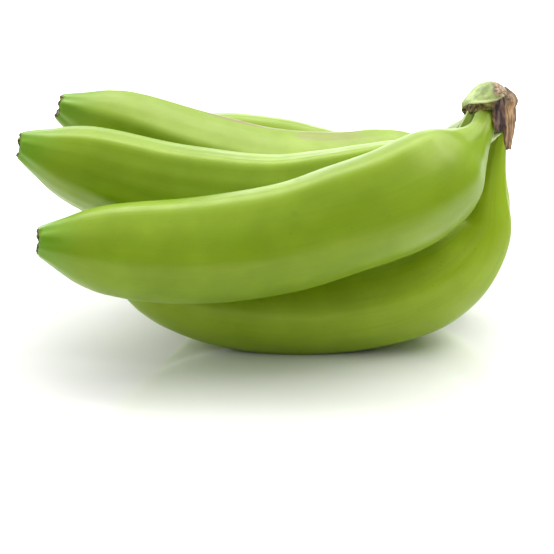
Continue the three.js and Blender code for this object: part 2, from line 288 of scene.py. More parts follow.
# Width, neck, height and crispness of the long edges, how far the tip slants, where the edges start
# at neck and tip, and the centreline from the crown to the tip, which is the solids' own
fruits = [
    {"name": "front", "width": 40, "neck": shortNeck, "edge": 0.03, "crisp": 0.05, "slant": 0.9,
     "edgeTurn": (126, 104), "slot": "peel_mid",
     "centreline": [(81.5, -21, 94), (80.2, -25.5, 88.5), (76, -31.5, 82.5), (67.7, -38.5, 75.8),
                    (59, -45, 70.7), (45, -51.5, 64.8), (29, -53.5, 59.5), (6, -54, 52),
                    (-25, -56, 48), (-56, -57.5, 48.5), (-81.8, -60, 52)]},
    {"name": "middle", "width": 38.5, "neck": middleNeck, "edge": 0.05, "crisp": 0.16, "slant": 1.6,
     "edgeTurn": (110, 124), "slot": "peel_mid",
     "centreline": [(79, -13.8, 88.5), (77.2, -15.6, 84.5), (73.6, -15.8, 77.5), (70.2, -14.8, 70),
                    (63, -13, 63), (46, -12, 57.5), (23, -13, 53.5), (-3, -14, 52),
                    (-38, -16, 57.5), (-69, -17, 67.5), (-92.3, -18, 75.5)]},
    {"name": "upper", "width": 38, "neck": slimNeck, "edge": 0.045, "crisp": 0.1, "slant": 0.8,
     "edgeTurn": (140, 150), "slot": "peel_light",
     "centreline": [(81.6, -4.2, 87.2), (80, -2.4, 82.8), (76.6, 1.5, 76.8), (72, 8, 67.8),
                    (63.6, 17, 57), (49, 23, 51.5), (27, 24, 48.5), (-2, 23.5, 50.5),
                    (-32, 22, 59.5), (-59, 20.5, 71), (-81.5, 19, 80.5)]},
    {"name": "back", "width": 36, "neck": longNeck, "edge": 0.035, "crisp": 0.05, "slant": 0.4,
     "edgeTurn": (100, 112), "slot": "peel_light",
     "centreline": [(83, 6.6, 83), (79.3, 16, 74.6), (77.3, 31, 65.2), (75.6, 43.5, 54.4),
                    (66, 53, 43.5), (49, 58, 38.5), (27, 60, 41), (3, 60, 47.5),
                    (-23, 60, 52), (-50, 60, 55)]},
    {"name": "lower", "width": 37, "neck": longNeck, "edge": 0.035, "crisp": 0.05, "slant": 0.4,
     "edgeTurn": (96, 104), "slot": "peel_deep",
     "centreline": [(88, -14.6, 88), (84.2, -20, 74), (82, -25, 59.5), (80, -27, 45.5),
                    (70.5, -29, 33.5), (55, -30.5, 24.5), (33, -31.5, 18.8), (8, -31.5, 17),
                    (-15, -31, 18.8), (-38, -30, 24), (-58.5, -30, 31.5)]},
    {"name": "rear", "width": 35, "neck": longNeck, "edge": 0.035, "crisp": 0.05, "slant": 0.4,
     "edgeTurn": (96, 104), "slot": "peel_deep",
     "centreline": [(90, -3, 85.5), (86.8, -4, 73), (85, -1.5, 58), (83.3, 1, 44),
                    (76.5, 2.5, 31), (61, 3.5, 21.5), (40, 4, 17), (17, 4, 16.2),
                    (-6, 4.5, 18), (-26, 4.5, 22), (-43, 4.5, 29)]},
]


def traceCentreline(points):
    # an even-handed curve through the points, with its length so far at each small step
    knots = [Vector(p) for p in points]
    knots = [2 * knots[0] - knots[1]] + knots + [2 * knots[-1] - knots[-2]]
    steps = 60
    trace = []
    for i in range(len(knots) - 3):
        p0, p1, p2, p3 = knots[i:i + 4]
        for k in range(steps):
            t = k / steps
            trace.append(0.5 * (2 * p1 + (p2 - p0) * t + (2 * p0 - 5 * p1 + 4 * p2 - p3) * t * t
                                + (3 * p1 - p0 - 3 * p2 + p3) * t ** 3))
    trace.append(knots[-2])
    lengths = [0]
    for a, b in zip(trace, trace[1:]):
        lengths.append(lengths[-1] + (b - a).length)
    return {"points": trace, "lengths": lengths}


def placeOn(curve, along):
    reach = min(max(along, 0), 1) * curve["lengths"][-1]
    i = min(max(bisect.bisect_right(curve["lengths"], reach) - 1, 0), len(curve["points"]) - 2)
    span = curve["lengths"][i + 1] - curve["lengths"][i]
    return curve["points"][i].lerp(curve["points"][i + 1], (reach - curve["lengths"][i]) / span)


def crossDirections(curve, along):
    # the way along the fruit, away from the viewer, and to the inside of its bend
    step = 0.003
    tangent = (placeOn(curve, min(along + step, 1)) - placeOn(curve, max(along - step, 0))).normalized()
    side = (Vector((0, 1, 0)) - tangent * tangent.y).normalized()
    return tangent, side, side.cross(tangent)


def tipRadius(fruit):
    return 0.5 * fruit["width"] * peel["bluntTip"][-1][1]


def tipLobe(fruit, turn):
    # how far the blunt end juts out or in at a turn round it, in uneven lobes
    ring = Vector((math.cos(turn), math.sin(turn), 0)) * tipRadius(fruit)
    seed = Vector((0, peel["tipLobeSeed"], fruit["width"]))
    lobe = peel["tipLobe"] * noise.noise(ring / peel["tipLobeLength"] + seed)
    return lobe + fruit["slant"] * max(0, math.sin(turn))


def peelRelief(fruit, along, turn, straight):
    # slow swells, faint dimples, ribs on the neck and pleats drawn in at the dried tip
    seed = Vector((fruit["width"], 0, 0))
    wave = peel["waviness"] * noise.noise(straight / peel["waveLength"] + seed)
    fine = peel["fineWaviness"] * noise.noise(straight / peel["fineWaveLength"] + seed)
    nearTip = easeBetween(peel["tipPleatsFrom"], 1, along)
    pleatTurn = peel["tipPleats"] * turn + peel["tipPleatTurn"] * fruit["width"]
    pleats = peel["tipPleatDepth"] * nearTip * math.cos(pleatTurn)
    nearNeck = 1 - easeBetween(*peel["neckRibsFade"], along)
    ribs = peel["neckRibDepth"] * nearNeck * math.cos(2 * peel["edgeCount"] * turn)
    return (wave + fine) * (1 - nearTip) + pleats + ribs


# Where the peel was rubbed, along two lines on the upper fruit, and small dark marks on the front one.
# A scuff fades from a share of its radius outwards, and a mark is full up to a share of its own.
scuffs = [
    {"from": (-24, 25.5, 75), "to": (34, 29.6, 67.3), "radius": 3.2, "most": 1},
    {"from": (14, 24.5, 67), "to": (42, 23, 64), "radius": 5.5, "most": 0.5},
]
scuffCore = 0.3
marks = [
    {"at": (10.5, -54.6, 73.5), "radius": 1.3, "colour": "#5d6a1a", "most": 0.7},
    {"at": (9.3, -68, 65.1), "radius": 1.6, "colour": "#5f7a10", "most": 0.5},
    {"at": (54.6, -43.9, 88.4), "radius": 1.5, "colour": "#5a4a20", "most": 0.85},
    {"at": (-38, -60, 67), "radius": 0.9, "colour": "#6a7a1c", "most": 0.5},
]
markCore = 0.2


def scuffShare(spot):
    most = 0
    for scuff in scuffs:
        start = Vector(scuff["from"])
        line = Vector(scuff["to"]) - start
        nearest = start + line * min(max((spot - start).dot(line) / line.length_squared, 0), 1)
        share = 1 - easeBetween(scuffCore, 1, (spot - nearest).length / scuff["radius"])
        most = max(most, scuff["most"] * share)
    return most


def makePeel(fruit):
    deselectAll()
    bpy.ops.mesh.primitive_cylinder_add(vertices=peel["around"], radius=1, depth=1)
    piece = bpy.context.object
    piece.name = "peel_" + fruit["name"]
    cutUprights(piece, peel["lengthCuts"])
    curve = traceCentreline(fruit["centreline"])
    length = curve["lengths"][-1]
    placeMark, alongMark, edgeMark, scuffMark = addMarks(piece, {
        "peelPlace": 'FLOAT_VECTOR', "peelAlong": 'FLOAT', "peelEdge": 'FLOAT', "peelScuff": 'FLOAT'})
    widths = fruit["neck"] + peel["bluntTip"]
    for i, vertex in enumerate(piece.data.vertices):
        even = 0.5 - vertex.co.z
        along = even - peel["crowding"] * math.sin(2 * math.pi * even) / (2 * math.pi)
        turn = math.atan2(vertex.co.y, vertex.co.x)
        share = smoothValue(widths, along)
        edges = math.cos(peel["edgeCount"] * turn)
        edges += peel["edgeSharpness"] * math.cos(2 * peel["edgeCount"] * turn)
        edges += fruit["crisp"] * math.cos(3 * peel["edgeCount"] * turn)
        firstEdge = fruit["edgeTurn"][0] + (fruit["edgeTurn"][1] - fruit["edgeTurn"][0]) * along
        angle = turn + math.radians(firstEdge)
        straight = Vector((peel["patternRadius"] * math.cos(turn),
                           peel["patternRadius"] * math.sin(turn), along * length))
        radius = 0.5 * fruit["width"] * share * (1 + fruit["edge"] * share * edges)
        radius += peelRelief(fruit, along, turn, straight)
        tangent, side, up = crossDirections(curve, along)
        squeeze = smoothValue(peel["squeeze"], along)
        spot = placeOn(curve, along) + side * (radius * squeeze * math.cos(angle))
        spot += up * (radius * math.sin(angle))
        spot += tangent * (tipLobe(fruit, angle) * easeBetween(peel["tipLobeFrom"], 1, along))
        spot.z = max(spot.z, peel["lowest"])
        vertex.co = spot * mm
        onEdge = 0.5 + 0.5 * math.cos(peel["edgeCount"] * turn)
        placeMark[i].vector = straight * mm
        alongMark[i].value = along
        edgeMark[i].value = share * onEdge ** peel["edgePower"]
        scuffMark[i].value = scuffShare(spot)
    smoothOutwards()
    return piece


# Waxy unripe banana peel: a satin cuticle over dense green, with fine threads along the fruit,
# slow mottling, paler long edges, and deeper green where the tip draws in
peelLook = {
    "roughness": 0.42, "ior": 1.5, "shine": "#fff6c8", "fleckColour": "#56691a", "rubColour": "#7b6650",
    "edgeMost": 0.15, "tipFrom": 0.92, "tipMost": 0.8, "bump": 0.12, "bumpDepth": 0.2,
    "drawnOut": (1, 1, 0.05),
    "mottle": {"size": 17, "low": 0.35, "high": 0.7, "most": 0.5},
    "threads": {"size": 1.1, "low": 0.35, "high": 0.7, "most": 0.2},
    "flecks": {"size": 1.4, "low": 0.66, "high": 0.74, "most": 0.3},
    "rubs": {"size": 1.6, "low": 0.36, "high": 0.52, "most": 0.95},
    "bloom": {"size": 9, "low": 0.3, "high": 0.7, "most": 0.12},
}


def makePeelMaterial(name, main, pale, deep):
    cuticle = newMaterial(name)
    place = addNode(cuticle, "ShaderNodeAttribute", {"attribute_name": "peelPlace"}, {}).outputs["Vector"]
    along = addNode(cuticle, "ShaderNodeAttribute", {"attribute_name": "peelAlong"}, {}).outputs["Fac"]
    edge = addNode(cuticle, "ShaderNodeAttribute", {"attribute_name": "peelEdge"}, {}).outputs["Fac"]
    scuff = addNode(cuticle, "ShaderNodeAttribute", {"attribute_name": "peelScuff"}, {}).outputs["Fac"]
    solid = addNode(cuticle, "ShaderNodeTexCoord", {}, {}).outputs["Object"]
    drawn = addNode(cuticle, "ShaderNodeMapping", {
        "Scale": peelLook["drawnOut"]}, {"Vector": place}).outputs["Vector"]
    edged = addNode(cuticle, "ShaderNodeMath", {
        "operation": 'MULTIPLY', 1: peelLook["edgeMost"]}, {0: edge}).outputs["Value"]
    tipEnd = addNode(cuticle, "ShaderNodeMapRange", {
        "From Min": peelLook["tipFrom"], "From Max": 1.0, "To Min": 0.0,
        "To Max": peelLook["tipMost"]}, {"Value": along}).outputs["Result"]
    threads = noiseShare(cuticle, drawn, **peelLook["threads"])
    rubbed = addNode(cuticle, "ShaderNodeMath", {"operation": 'MULTIPLY'}, {
        0: scuff, 1: noiseShare(cuticle, drawn, **peelLook["rubs"])}).outputs["Value"]
    coats = [
        (pale, noiseShare(cuticle, place, **peelLook["mottle"])), (pale, edged), (deep, tipEnd),
        (deep, threads), (peelLook["fleckColour"], noiseShare(cuticle, solid, **peelLook["flecks"])),
        (peelLook["rubColour"], rubbed)]
    for mark in marks:
        gap = addNode(cuticle, "ShaderNodeVectorMath", {
            "operation": 'DISTANCE', 1: [c * mm for c in mark["at"]]}, {0: solid}).outputs["Value"]
        share = addNode(cuticle, "ShaderNodeMapRange", {
            "From Min": mark["radius"] * mm, "From Max": markCore * mark["radius"] * mm, "To Min": 0.0,
            "To Max": mark["most"]}, {"Value": gap}).outputs["Result"]
        coats.append((mark["colour"], share))
    colour = layColours(cuticle, main, coats)
    bump = addNode(cuticle, "ShaderNodeBump", {
        "Strength": peelLook["bump"], "Distance": peelLook["bumpDepth"] * mm}, {"Height": threads})
    smoothest = peelLook["roughness"] - 0.5 * peelLook["bloom"]["most"]
    roughness = addNode(cuticle, "ShaderNodeMath", {"operation": 'ADD', 1: smoothest}, {
        0: noiseShare(cuticle, place, **peelLook["bloom"])}).outputs["Value"]
    shader = addNode(cuticle, "ShaderNodeBsdfPrincipled", {
        "IOR": peelLook["ior"], "Specular Tint": linearColour(peelLook["shine"])}, {
        "Base Color": colour, "Normal": bump.outputs["Normal"], "Roughness": roughness})
    addNode(cuticle, "ShaderNodeOutputMaterial", {}, {"Surface": shader.outputs["BSDF"]})
    return cuticle


peelMaterials = {
    "peel_mid": makePeelMaterial("waxyGreenPeel", "#6e8901", "#86a21c", "#54880c"),
    "peel_light": makePeelMaterial("waxyPaleGreenPeel", "#6e890a", "#8aa434", "#568610"),
    "peel_deep": makePeelMaterial("waxyDeepGreenPeel", "#7f9a06", "#94ae22", "#60840c"),
}

for fruit in fruits:
    piece = makePeel(fruit)
    piece.data.materials.append(peelMaterials[fruit["slot"]])
    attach(piece, "root")
    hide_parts("banana_" + fruit["name"])
print("six bananas are peeled out of cylinders")


# Dried blossom ends: a thin, notched, curled rim round a sunken core. The insets and the drop are
# shares of the end's radius, and the pairs say between which shares of its radius or depth each of
# the lobes, notches and roughness comes in.

dryTip = {
    "around": 60, "rimInset": 0.22, "slopeInset": 0.2, "coreDrop": 0.25, "coreInset": 0.25, "cuts": 2,
    "depth": 0.55, "sunkIn": 0.7, "taper": 0.14,
    "lobesFrom": (0, 0.9), "notchDepth": 0.7, "notchLength": 2.2, "notchesFrom": (0.5, 0.95),
    "roughness": 0.3, "roughLength": 1.2, "roughDepth": 4, "roughFrom": (0.3, 1), "roughUp": 0.5,
    "looseFrom": (0.3, 0.9),
}


def makeDryTip(fruit):
    deselectAll()
    bpy.ops.mesh.primitive_cylinder_add(vertices=dryTip["around"], radius=1, depth=1)
    piece = bpy.context.object
    piece.name = "driedBlossomEnd_" + fruit["name"]
    selectParts(piece, "polygons", lambda face: face.normal.z > 0.9)
    bpy.ops.mesh.inset(thickness=dryTip["rimInset"])
    bpy.ops.mesh.inset(thickness=dryTip["slopeInset"])
    bpy.ops.transform.translate(value=(0, 0, -dryTip["coreDrop"]))
    bpy.ops.mesh.inset(thickness=dryTip["coreInset"])
    bpy.ops.mesh.select_all(action='SELECT')
    bpy.ops.mesh.subdivide(number_cuts=dryTip["cuts"])
    bpy.ops.object.mode_set(mode='OBJECT')
    curve = traceCentreline(fruit["centreline"])
    tip = placeOn(curve, 1)
    tangent, side, up = crossDirections(curve, 1)
    radius = tipRadius(fruit)
    seed = Vector((0, 0, fruit["width"]))
    for vertex in piece.data.vertices:
        out = vertex.co.z + 0.5
        share = math.hypot(vertex.co.x, vertex.co.y)
        turn = math.atan2(vertex.co.y, vertex.co.x)
        ring = Vector((math.cos(turn), math.sin(turn), 0)) * radius
        notch = noise.noise(ring / dryTip["notchLength"] + seed)
        notch *= easeBetween(*dryTip["notchesFrom"], share)
        near = (ring * share + Vector((0, 0, dryTip["roughDepth"] * out))) / dryTip["roughLength"]
        rough = dryTip["roughness"] * noise.noise(near)
        reach = radius * share * (1 - dryTip["taper"] * out)
        reach += rough * easeBetween(*dryTip["roughFrom"], share)
        loose = easeBetween(*dryTip["looseFrom"], out)
        height = -dryTip["sunkIn"] + out * (dryTip["depth"] + dryTip["sunkIn"])
        height += tipLobe(fruit, turn) * easeBetween(*dryTip["lobesFrom"], share)
        height += (dryTip["notchDepth"] * notch + dryTip["roughUp"] * rough) * loose
        spot = tip + tangent * height
        spot += side * (reach * math.cos(turn)) + up * (reach * math.sin(turn))
        vertex.co = spot * mm
    smoothOutwards()
    return piece


# Dried flower scar: matt black-brown bark with a few ochre flecks on its rim
scarLook = {
    "dark": "#3a331a", "light": "#66592c", "fleckColour": "#8f9650", "roughness": 0.88,
    "grainSize": 0.5, "bump": 0.6, "bumpDepth": 0.25,
    "patches": {"size": 1.6, "low": 0.42, "high": 0.62, "most": 1.0},
    "flecks": {"size": 0.8, "low": 0.54, "high": 0.66, "most": 0.8},
}


def makeDryTipMaterial():
    scar = newMaterial("driedFlowerScar")
    place = addNode(scar, "ShaderNodeTexCoord", {}, {}).outputs["Object"]
    colour = layColours(scar, scarLook["dark"], [
        (scarLook["light"], noiseShare(scar, place, **scarLook["patches"])),
        (scarLook["fleckColour"], noiseShare(scar, place, **scarLook["flecks"]))])
    grain = addNode(scar, "ShaderNodeTexNoise", {
        "Scale": 1 / (scarLook["grainSize"] * mm), "Detail": 4.0}, {"Vector": place})
    bump = addNode(scar, "ShaderNodeBump", {
        "Strength": scarLook["bump"], "Distance": scarLook["bumpDepth"] * mm}, {
        "Height": grain.outputs["Fac"]})
    shader = addNode(scar, "ShaderNodeBsdfPrincipled", {"Roughness": scarLook["roughness"]}, {
        "Base Color": colour, "Normal": bump.outputs["Normal"]})
    addNode(scar, "ShaderNodeOutputMaterial", {}, {"Surface": shader.outputs["BSDF"]})
    return scar


scarMaterial = makeDryTipMaterial()
for fruit in fruits:
    piece = makeDryTip(fruit)
    piece.data.materials.append(scarMaterial)
    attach(piece, "root")
    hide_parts("blossom_end_" + fruit["name"])
print("six dried blossom ends are on")


# Crown: the cut green cushion that the necks grow from. Its rim and its crease are slanting lines in
# the view from its end; the lip is a fresh edge just above the dry skin, along part of it.

crown = {
    "centre": (82.2, -8), "halfWidth": 9.2, "halfLength": 21.5, "squareness": 2.5, "lean": 1.2,
    "fall": 12, "fallPower": 1.5, "hangHeight": 92.3, "lump": 0.03, "lumpTurns": 6, "lumpTwist": 0.08,
    "leftHollow": 0.9, "rightShoulder": 1.35, "rightBulge": 2.4, "bulgeBetween": (-0.1, 0.25),
    "profile": [(84, 0.6, 0.56), (87, 0.74, 0.68), (90, 0.85, 0.84), (92.3, 0.91, 0.97), (94.2, 0.95, 1),
                (96, 0.85, 0.99), (98.6, 0.6, 0.94), (100.7, 0.34, 0.8), (101.7, 0.17, 0.6),
                (102, 0.05, 0.3)],
    "around": 128, "lengthCuts": (7, 9), "crowding": 1.6,
    "knobs": 0.5, "knobSize": 5, "grain": 0.16, "grainSize": 1.3, "grainUp": 0.1,
    "lipOut": 0.35, "lipRise": (-0.8, 0.3), "lipFade": (0.48, 1.2), "lipStart": (0.1, 0.34),
    "lipEnd": (0.44, 0.52),
    "rim": {"at": (82, 100.4), "slope": (0.56, 0.83)}, "corkyAcross": (-2.8, -1.0),
    "corkyFrom": (80.5, 83),
    # the crease is where the cut face turns from painted shade to painted sunlight
    "crease": {"at": (80.9, 99.4), "slope": (0.63, -0.78)}, "creaseAcross": (-0.6, 0.9),
}
crownWidths = [(height, width) for height, width, _ in crown["profile"]]
crownLengths = [(height, length) for height, _, length in crown["profile"]]

# Dry skin: a torn fibrous sheet round the crown's left, near and right sides, with a hanging flap.
# Places along it run from 0 at its left end to 1 at its right, and up it from 0 to 1.

drySkin = {
    "startTurn": -190, "endTurn": 20, "arc": 66, "columns": 330, "rows": 44, "clearance": 0.3,
    "thickness": 0.55, "hang": 3, "hangDrop": 5, "hangPower": 3,
    "torn": 0.9, "tornLength": 1.6, "tornFine": 0.35, "tornFineLength": 0.5, "tornAbove": 0.4,
    "fibre": 0.32, "fibreWidth": 1.1, "fineFibre": 0.14, "fineFibreWidth": 0.45, "fibreLength": 9,
    "crumple": 0.5, "crumpleSize": 2.6, "knob": 0.45, "knobSize": 1.3, "knobLostOnFlap": 0.6,
    "edgeThin": 0.4, "edgeThinTo": 0.08, "topFlat": 0.8, "topFlatFrom": 0.6,
    "seeds": {"torn": 3, "tornFine": 7, "fineFibre": 5, "knob": 2, "crumple": 9, "wander": 4},
    "lowerEdge": [(0, 90.2), (0.12, 89.6), (0.19, 89.6), (0.33, 90.3), (0.42, 92), (0.447, 92.4),
                  (0.466, 85.4), (0.505, 84.6), (0.52, 79.5), (0.54, 77.4), (0.565, 77.6), (0.582, 82),
                  (0.6, 85.5), (0.65, 88.3), (0.85, 89.5), (1, 92.5)],
    "upperEdge": [(0, 92), (0.12, 92.3), (0.19, 92.7), (0.33, 93.6), (0.43, 94.9), (0.476, 95.8),
                  (0.505, 96.8), (0.54, 97.8), (0.6, 99), (0.68, 99.4), (0.76, 99), (0.9, 97.6),
                  (1, 94.8)],
    "flapStart": (0.44, 0.48), "stripOut": 0.6, "stripStart": (0.51, 0.524), "stripEnd": (0.6, 0.68),
    "darkStart": (0.452, 0.474), "tanStart": (0.51, 0.524), "tanEnd": (0.587, 0.612), "tanLost": 0.8,
    "wander": 0.01, "wanderLength": 2.2,
}


def crownPoint(angle, height, outside):
    # a point on the crown's surface, or a set distance outside it
    halfWidth = crown["halfWidth"] * smoothValue(crownWidths, height)
    halfLength = crown["halfLength"] * smoothValue(crownLengths, height)
    across = abs(math.cos(angle)) / halfWidth
    endways = abs(math.sin(angle)) / halfLength
    power = crown["squareness"]
    reach = (across ** power + endways ** power) ** (-1 / power)
    lump = 1 + crown["lump"] * math.sin(crown["lumpTurns"] * angle + crown["lumpTwist"] * height)
    reach *= lump
    farward = math.sin(angle) * reach / crown["halfLength"]
    bulge = crown["rightBulge"] * easeBetween(*crown["bulgeBetween"], farward)
    bulge *= 1 - min(1, farward ** 2)
    dome = (height - crown["hangHeight"]) / (crown["profile"][-1][0] - crown["hangHeight"])
    arch = math.sin(math.pi * min(max(dome, 0), 1))
    shoulder = crown["rightShoulder"] * arch
    hollow = crown["leftHollow"] * arch ** 2
    reach += max(0, math.cos(angle)) * (shoulder + bulge) - max(0, -math.cos(angle)) * hollow + outside
    away = math.sin(angle) * reach
    endShare = away / crown["halfLength"]
    fall = crown["fall"] * max(0, 0.5 + 0.5 * endShare) ** crown["fallPower"]
    slope = easeBetween(crown["hangHeight"], crown["profile"][-1][0], height)
    return Vector((crown["centre"][0] + math.cos(angle) * reach - crown["lean"] * endShare,
                   crown["centre"][1] + away, height - fall + outside * slope))


def alongSkin(angle):
    # where an angle round the crown lies along the dry skin
    turn = math.degrees(angle)
    while turn > drySkin["endTurn"]:
        turn -= 360
    return (turn - drySkin["startTurn"]) / (drySkin["endTurn"] - drySkin["startTurn"])


def distancePast(line, place):
    # how far a place lies beyond the crown's rim or crease, in millimetres
    return line["slope"][0] * (place.x - line["at"][0]) + line["slope"][1] * (place.z - line["at"][1])


def makeCrown():
    deselectAll()
    bpy.ops.mesh.primitive_cylinder_add(vertices=crown["around"], radius=1, depth=1,
                                        end_fill_type='TRIFAN')
    piece = bpy.context.object
    piece.name = "crownCushion"
    cutUprights(piece, crown["lengthCuts"])
    lipMark, dryMark, paintedSunlitMark = addMarks(piece, {
        "crownLip": 'FLOAT', "crownDry": 'FLOAT', "crownFacet": 'FLOAT'})
    bottom = crown["profile"][0][0]
    top = crown["profile"][-1][0]
    for i, vertex in enumerate(piece.data.vertices):
        height = top - (top - bottom) * (0.5 - vertex.co.z) ** crown["crowding"]
        angle = math.atan2(vertex.co.y, vertex.co.x)
        onAxis = math.hypot(vertex.co.x, vertex.co.y) < 0.5
        place = crownPoint(angle, height, 0)
        if onAxis:
            place = Vector((crown["centre"][0], crown["centre"][1], crownPoint(0, height, 0).z))
        along = alongSkin(angle)
        aboveSkin = height - smoothValue(drySkin["upperEdge"], min(max(along, 0), 1))
        lip = easeBetween(*crown["lipRise"], aboveSkin)
        lip *= 1 - easeBetween(*crown["lipFade"], aboveSkin)
        lip *= easeBetween(*crown["lipStart"], along) * (1 - easeBetween(*crown["lipEnd"], along))
        knob = crown["knobs"] * noise.noise(place / crown["knobSize"])
        grain = crown["grain"] * noise.noise(place / crown["grainSize"])
        slope = easeBetween(crown["hangHeight"], top, height)
        outwards = Vector((math.cos(angle) * (1 - slope), math.sin(angle) * (1 - slope),
                           slope + crown["grainUp"]))
        if onAxis:
            outwards = Vector((0, 0, 1))
        corky = easeBetween(*crown["corkyAcross"], distancePast(crown["rim"], place))
        corky *= easeBetween(*crown["corkyFrom"], place.x)
        # painted light: past the crease the cut face gets a painted sunlit colour, before it a painted
        # shaded one
        paintedSunlit = easeBetween(*crown["creaseAcross"], distancePast(crown["crease"], place))
        vertex.co = (place + outwards * (knob + grain + crown["lipOut"] * lip)) * mm
        lipMark[i].value = lip
        dryMark[i].value = corky
        paintedSunlitMark[i].value = paintedSunlit
    smoothOutwards()
    return piece


# Corky bark, where the crown's rim and the top of the flap have dried
bark = {
    "dark": "#4f3d2e", "light": "#9a8062",
    "patches": {"size": 1.3, "low": 0.42, "high": 0.58, "most": 1.0},
}

# Cut stalk flesh: matt grey-green with brown stipple, with painted light: a painted sunlit part past the
# crease and a painted shaded part before it, with a pale fresh lip and a corky tan right edge
crownLook = {
    "paintedShadeDark": "#677c38", "paintedShadeLight": "#869b50", "paintedSunDark": "#9bb064", "paintedSunLight": "#b6c583",
    "stippleColour": "#75663c", "lipColour": "#cbd795", "roughness": 0.68,
    "grainSize": 0.9, "bump": 0.5, "bumpDepth": 0.3,
    "mottle": {"size": 3.0, "low": 0.38, "high": 0.62, "most": 1.0},
    "stipple": {"size": 1.4, "low": 0.56, "high": 0.66, "most": 0.4},
    "corkyPatches": {"size": 1.8, "low": 0.3, "high": 0.42, "most": 1.0},
}


def makeCrownMaterial():
    flesh = newMaterial("cutStalkFlesh")
    place = addNode(flesh, "ShaderNodeTexCoord", {}, {}).outputs["Object"]
    lip = addNode(flesh, "ShaderNodeAttribute", {"attribute_name": "crownLip"}, {}).outputs["Fac"]
    dry = addNode(flesh, "ShaderNodeAttribute", {"attribute_name": "crownDry"}, {}).outputs["Fac"]
    paintedSunlit = addNode(flesh, "ShaderNodeAttribute", {"attribute_name": "crownFacet"}, {}).outputs["Fac"]
    mottle = noiseShare(flesh, place, **crownLook["mottle"])
    # painted shade and painted sunlight: a shaded and a sunlit copy of the same mottled flesh colour
    shaded = layColours(flesh, crownLook["paintedShadeDark"], [(crownLook["paintedShadeLight"], mottle)])
    sunlit = layColours(flesh, crownLook["paintedSunDark"], [(crownLook["paintedSunLight"], mottle)])
    corky = layColours(flesh, bark["dark"], [
        (bark["light"], noiseShare(flesh, place, **bark["patches"]))])
    corkyShare = addNode(flesh, "ShaderNodeMath", {"operation": 'MULTIPLY'}, {
        0: dry, 1: noiseShare(flesh, place, **crownLook["corkyPatches"])}).outputs["Value"]
    colour = layColours(flesh, shaded, [
        (sunlit, paintedSunlit), (crownLook["stippleColour"], noiseShare(flesh, place, **crownLook["stipple"])),
        (corky, corkyShare), (crownLook["lipColour"], lip)])
    grain = addNode(flesh, "ShaderNodeTexNoise", {
        "Scale": 1 / (crownLook["grainSize"] * mm), "Detail": 5.0}, {"Vector": place})
    bump = addNode(flesh, "ShaderNodeBump", {
        "Strength": crownLook["bump"], "Distance": crownLook["bumpDepth"] * mm}, {
        "Height": grain.outputs["Fac"]})
    shader = addNode(flesh, "ShaderNodeBsdfPrincipled", {"Roughness": crownLook["roughness"]}, {
        "Base Color": colour, "Normal": bump.outputs["Normal"]})
    addNode(flesh, "ShaderNodeOutputMaterial", {}, {"Surface": shader.outputs["BSDF"]})
    return flesh


piece = makeCrown()
piece.data.materials.append(makeCrownMaterial())
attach(piece, "root")
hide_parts("crown")
print("the crown is on")


def makeDrySkin():
    deselectAll()
    bpy.ops.mesh.primitive_grid_add(x_subdivisions=drySkin["columns"], y_subdivisions=drySkin["rows"],
                                    size=1)
    piece = bpy.context.object
    piece.name = "tornDrySkin"
    fibreMark, flapMark = addMarks(piece, {"skinPlace": 'FLOAT_VECTOR', "skinFlap": 'FLOAT_VECTOR'})
    seeds = drySkin["seeds"]
    sweep = drySkin["endTurn"] - drySkin["startTurn"]
    for i, vertex in enumerate(piece.data.vertices):
        along = vertex.co.x + 0.5
        rise = vertex.co.y + 0.5
        arc = along * drySkin["arc"]
        angle = math.radians(drySkin["startTurn"] + sweep * along)
        torn = drySkin["torn"] * noise.noise(Vector((arc / drySkin["tornLength"], seeds["torn"], 0)))
        torn += drySkin["tornFine"] * noise.noise(
            Vector((arc / drySkin["tornFineLength"], seeds["tornFine"], 0)))
        low = smoothValue(drySkin["lowerEdge"], along) + torn
        high = smoothValue(drySkin["upperEdge"], along) + drySkin["tornAbove"] * torn
        height = low + (high - low) * rise
        onCrown = max(height, crown["hangHeight"])
        drop = onCrown - height
        facing = max(0, -math.sin(angle)) ** drySkin["hangPower"]
        hang = drySkin["hang"] * facing * easeBetween(0, drySkin["hangDrop"], drop)
        onFlap = easeBetween(*drySkin["flapStart"], along)
        fibreRise = height / drySkin["fibreLength"]
        fibre = drySkin["fibre"] * noise.noise(Vector((arc / drySkin["fibreWidth"], fibreRise, 0)))
        fibre += drySkin["fineFibre"] * noise.noise(
            Vector((arc / drySkin["fineFibreWidth"], fibreRise, seeds["fineFibre"])))
        knob = drySkin["knob"] * noise.noise(Vector((arc, height, seeds["knob"])) / drySkin["knobSize"])
        fibre = fibre * onFlap + knob * (1 - drySkin["knobLostOnFlap"] * onFlap)
        crumple = drySkin["crumple"] * noise.noise(
            Vector((arc, height, seeds["crumple"])) / drySkin["crumpleSize"])
        strip = drySkin["stripOut"] * easeBetween(*drySkin["stripStart"], along)
        strip *= 1 - easeBetween(*drySkin["stripEnd"], along)
        edgeThin = drySkin["edgeThin"] * (1 - easeBetween(0, drySkin["edgeThinTo"], rise))
        standing = drySkin["thickness"] + strip + crumple
        standing *= 1 - drySkin["topFlat"] * easeBetween(drySkin["topFlatFrom"], 1, rise)
        outside = drySkin["clearance"] + standing + fibre - edgeThin
        place = crownPoint(angle, onCrown, outside)
        place.y -= hang
        place.z -= drop
        vertex.co = place * mm
        fibreMark[i].vector = Vector((arc, height, 0)) * mm
        wander = Vector((height / drySkin["wanderLength"], seeds["wander"], 0))
        wandered = along + drySkin["wander"] * noise.noise(wander)
        dark = easeBetween(*drySkin["darkStart"], wandered)
        tan = easeBetween(*drySkin["tanStart"], wandered)
        tan *= 1 - drySkin["tanLost"] * easeBetween(*drySkin["tanEnd"], along)
        flapMark[i].vector = (dark, tan, rise)
    giveThickness(piece, drySkin["thickness"])
    smoothOutwards()
    return piece


